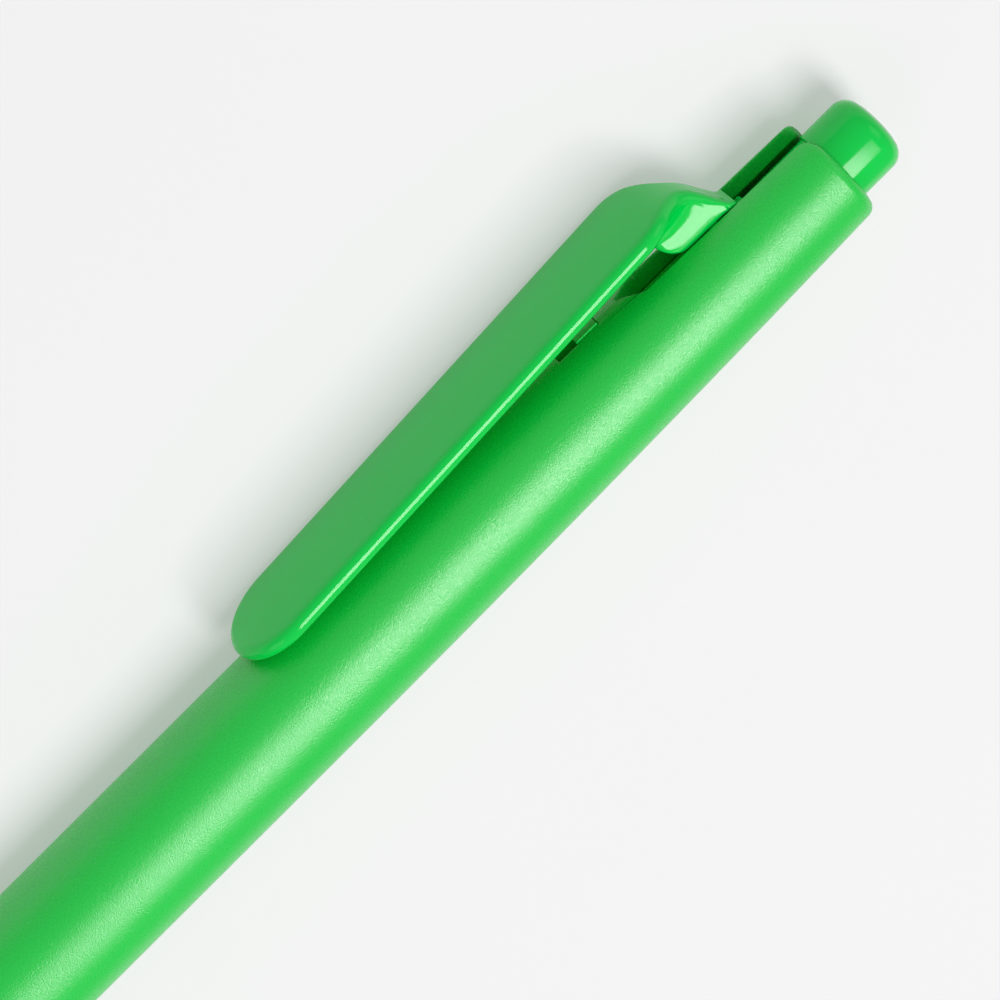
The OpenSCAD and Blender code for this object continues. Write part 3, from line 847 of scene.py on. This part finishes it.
class HIGHLIGHTER_OT_clip(bpy.types.Operator):
    """Model the clip: paddle, hump, arm, knuckle and the bead under its tip"""
    bl_idname = "highlighter.clip"
    bl_label = "Clip"

    def execute(self, context):
        sizes = context.scene.clip_sizes
        form = ClipForm(sizes)
        obj = lofted("clip_moulding", form.rings())
        neck_top = 4.95 * MM
        knuckle_r = 0.6 * MM
        neck_half = 0.42 * MM
        inset = 0.1 * MM
        arm = sizes.arm_width - inset
        corners = [(PIVOT.x - neck_half, PIVOT_OUT), (PIVOT.x + neck_half, PIVOT_OUT),
                   (PIVOT.x + neck_half, neck_top), (PIVOT.x - neck_half, neck_top)]
        neck = slab("neck", [place(x, out, -arm / 2) for x, out in corners], ACROSS * arm)
        knuckle = cross_rod("knuckle", PIVOT.x, PIVOT_OUT, knuckle_r, arm)
        bead_r = 0.8 * MM
        bead_gap = 0.06 * MM
        bead_width = 3.2 * MM
        bead = cross_rod("bead", form.tip_x + 4.5 * MM, BODY_R + bead_gap + bead_r, bead_r,
                         bead_width)
        combine(obj, [neck, knuckle, bead], "UNION")
        tidy(obj, angle=CLIP_SMOOTH_ANGLE)
        finish_piece(obj, finish(gloss_green), "clip", "gloss_green", "clip")
        return {"FINISHED"}


class HIGHLIGHTER_OT_button(bpy.types.Operator):
    """Model the push button"""
    bl_idname = "highlighter.button"
    bl_label = "Push button"

    def execute(self, context):
        sizes = context.scene.button_sizes
        front_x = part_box("button")[0].x
        step_x = RIM_X - 0.5 * MM
        ease = 0.1 * MM
        flat_r = sizes.radius - sizes.end_round
        face_x = END_X - sizes.dome
        blend = 0.3 * MM
        steps = 8
        dome_r = arc_radius(sizes.dome, flat_r + blend)
        radii = [flat_r * (steps - i) / steps for i in range(steps + 1)]
        dome = [(END_X - fall(dome_r, radius), radius) for radius in radii]
        outline = (
            [(front_x + ease, sizes.socket), (front_x, sizes.socket + ease),
             (front_x, sizes.skirt_radius - ease), (front_x + ease, sizes.skirt_radius),
             (step_x, sizes.skirt_radius), (step_x, sizes.radius - ease),
             (step_x + ease, sizes.radius)]
            + arc(face_x - sizes.end_round, flat_r, sizes.end_round, 90, 6, 14)
            + dome)
        socket_depth = 9 * MM
        socket_x = front_x + socket_depth
        outline = [(socket_x, 0.0), (socket_x, sizes.socket)] + outline
        obj = turned("button_cap", outline, closed=False)
        finish_piece(obj, finish(gloss_green), "button", "gloss_green", "button")
        return {"FINISHED"}


class HIGHLIGHTER_OT_spring(bpy.types.Operator):
    """Model the return spring at a single length; the real spring shortens as the cartridge moves
    """
    bl_idname = "highlighter.spring"
    bl_label = "Return spring"

    def execute(self, context):
        low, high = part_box("return_spring")
        wire = 0.22 * MM
        coil = (high.z - low.z) / 2 - wire
        start, end = low.x + wire, high.x - wire
        turns, closed, per_turn = 11, 1, 28
        tight = 2 * wire + 0.04 * MM
        loose = (end - start - 2 * closed * tight) / (turns - 2 * closed)

        def along(turn):
            if turn < closed:
                return start + turn * tight
            if turn > turns - closed:
                return end - (turns - turn) * tight
            return start + closed * tight + (turn - closed) * loose

        curve = bpy.data.curves.new("coil_spring", "CURVE")
        curve.dimensions = "3D"
        spline = curve.splines.new("POLY")
        count = turns * per_turn + 1
        spline.points.add(count - 1)
        for i, point in enumerate(spline.points):
            a = 2 * math.pi * i / per_turn
            point.co = (*place(along(i / per_turn), coil * math.cos(a), coil * math.sin(a)), 1)
        curve.bevel_depth = wire
        curve.bevel_resolution = 3
        curve.use_fill_caps = True
        obj = bpy.data.objects.new("coil_spring", curve)
        context.scene.collection.objects.link(obj)
        pick(obj)
        bpy.ops.object.convert(target="MESH")
        obj = tidy(context.object)
        finish_piece(obj, finish(spring_steel), "barrel", "spring_steel", "return_spring")
        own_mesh(obj)
        return {"FINISHED"}


class HIGHLIGHTER_OT_nib(bpy.types.Operator):
    """Model the chisel nib"""
    bl_idname = "highlighter.nib"
    bl_label = "Nib"

    def execute(self, context):
        low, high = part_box("nib")
        radius = (high.z - low.z) / 2
        ease = 0.15 * MM
        outline = [(low.x, 0.0), (low.x, radius), (high.x - ease, radius),
                   (high.x, radius - ease), (high.x, 0.0)]
        obj = turned("chisel_nib", outline, closed=False, steps=64)
        edge_out = -0.5 * radius
        reach = 1.5 * radius
        long_cut, short_cut = 3.4 * MM, 1.2 * MM
        before, beyond = 0.3, 1.5
        clear_x = low.x - 2 * MM
        cutters = []
        for depth, side in ((long_cut, 1), (short_cut, -1)):
            corners = [(low.x - before * depth, edge_out - before * side * reach),
                       (low.x + beyond * depth, edge_out + beyond * side * reach),
                       (clear_x, edge_out + beyond * side * reach)]
            cutters.append(slab("chisel_cut", [place(x, out, -2 * radius) for x, out in corners],
                                ACROSS * 4 * radius))
        combine(obj, cutters, "DIFFERENCE")
        tidy(obj)
        ease_edges(obj, 0.12 * MM)
        finish_piece(obj, finish(ink_fibre), "cartridge", "nib_fibre", "nib")
        return {"FINISHED"}


class HIGHLIGHTER_OT_inner_pieces(bpy.types.Operator):
    """Give the CAD pieces inside the pen their finishes"""
    bl_idname = "highlighter.inner_pieces"
    bl_label = "Inner pieces"

    def execute(self, context):
        kept = {"clip_sleeve": gloss_green, "plunger": natural_plastic, "rotor": natural_plastic,
                "tail_plug": natural_plastic, "nib_holder": natural_plastic,
                "ink_tube": clear_tube, "reservoir_wrap": film, "ink_core": ink_fibre,
                "seal_ring": seal_rubber}
        for node, maker in kept.items():
            materials = frame["nodes"][node].data.materials
            materials.clear()
            materials.append(finish(maker))
        return {"FINISHED"}


def add_light(name, target, direction, distance, size, power):
    """A square soft light that shines on the target from a direction."""
    deselect()
    bpy.ops.object.light_add(type="AREA", location=target + direction.normalized() * distance)
    light = bpy.context.object
    light.name = name
    light.data.shape = "RECTANGLE"
    light.data.size, light.data.size_y = size
    light.data.energy = power
    light.rotation_euler = (-direction).to_track_quat("-Z", "Y").to_euler()
    return light


LEAN = 28.5                     # degrees the view leans from the clip's face to its side
ROLL = 44.9                     # degrees the pen is turned in the view
LOOK_AT = 39.8 * MM             # from the rim to the middle of the view
LOOK_DOWN = 0.168               # the middle of the view under the axis, in millimetres
CAMERA_DISTANCE = 0.48
SENSOR_WIDTH = 36
FOCAL_LENGTH = 205.5
KEY_SWING = 43                  # degrees from the view to the main light
KEY_SHIFT = 0.02
FILL_POWER = 0.5
SKY_STRENGTH = 0.4


class HIGHLIGHTER_OT_stage(bpy.types.Operator):
    """Set up the floor, the lights and the camera"""
    bl_idname = "highlighter.stage"
    bl_label = "Stage"

    def execute(self, context):
        deselect()
        bpy.ops.mesh.primitive_plane_add(size=6.0, location=(0, 0, 0))
        floor = context.object
        floor.name = "floor"
        floor.data.materials.append(finish(pale_floor))

        lean = math.radians(LEAN)
        view = OUT * math.sin(lean) + ACROSS * math.cos(lean)
        up = OUT * math.cos(lean) - ACROSS * math.sin(lean)
        along = Vector((1, 0, 0))
        target = place(RIM_X - LOOK_AT, 0) - up * LOOK_DOWN * MM
        roll = math.radians(ROLL)
        right = along * math.cos(roll) - up * math.sin(roll)
        top = along * math.sin(roll) + up * math.cos(roll)
        deselect()
        bpy.ops.object.camera_add(location=target + view * CAMERA_DISTANCE)
        camera = context.object
        camera.name = "view_camera"
        from_axes = camera.matrix_world.copy().to_3x3()
        for row in range(3):
            from_axes[row] = (right[row], top[row], view[row])
        camera.rotation_euler = from_axes.to_euler()
        camera.data.sensor_width = SENSOR_WIDTH
        camera.data.lens = FOCAL_LENGTH
        camera.data.clip_start = 0.01
        context.scene.camera = camera

        swing = math.radians(KEY_SWING)
        key = view * math.cos(swing) - up * math.sin(swing)
        add_light("key_softbox", target + along * KEY_SHIFT, key, distance=0.7,
                  size=(0.22, 0.55), power=4.0)
        for side, name in ((1, "fill_rear"), (-1, "fill_front")):
            direction = along * side * 0.9 + Vector((0, 0.1, 0.6))
            add_light(name, target, direction, distance=0.9, size=(0.5, 0.5),
                      power=FILL_POWER)

        world = context.scene.world or bpy.data.worlds.new("studio")
        context.scene.world = world
        world.use_nodes = True
        background = world.node_tree.nodes["Background"]
        background.inputs["Color"].default_value = (1, 1, 1, 1)
        background.inputs["Strength"].default_value = SKY_STRENGTH
        context.scene.view_settings.view_transform = "Standard"
        return {"FINISHED"}


OPERATORS = (HIGHLIGHTER_OT_barrel, HIGHLIGHTER_OT_front, HIGHLIGHTER_OT_clip,
             HIGHLIGHTER_OT_button, HIGHLIGHTER_OT_spring, HIGHLIGHTER_OT_nib,
             HIGHLIGHTER_OT_inner_pieces, HIGHLIGHTER_OT_stage)


class HIGHLIGHTER_PT_panel(bpy.types.Panel):
    """Lists the pieces and their sizes"""
    bl_idname = "HIGHLIGHTER_PT_panel"
    bl_label = "Highlighter"
    bl_space_type = "VIEW_3D"
    bl_region_type = "UI"
    bl_category = "Highlighter"

    def draw(self, context):
        for operator in OPERATORS:
            self.layout.operator(operator.bl_idname)
        for name, group in GROUPS:
            box = self.layout.box()
            box.label(text=group.__doc__)
            for key in group.__annotations__:
                box.prop(getattr(context.scene, name), key)


def register():
    """Adds the classes and the scene's properties."""
    for name, group in GROUPS:
        bpy.utils.register_class(group)
        setattr(bpy.types.Scene, name, bpy.props.PointerProperty(type=group))
    for cls in OPERATORS + (HIGHLIGHTER_PT_panel,):
        bpy.utils.register_class(cls)


def unregister():
    """Removes the classes and the scene's properties."""
    for cls in reversed(OPERATORS + (HIGHLIGHTER_PT_panel,)):
        bpy.utils.unregister_class(cls)
    for name, group in reversed(GROUPS):
        delattr(bpy.types.Scene, name)
        bpy.utils.unregister_class(group)


def main():
    """Registers the classes and builds every piece and the stage in order."""
    register()
    for operator in OPERATORS:
        group, name = operator.bl_idname.split(".")
        getattr(getattr(bpy.ops, group), name)()


if __name__ == "__main__":
    main()
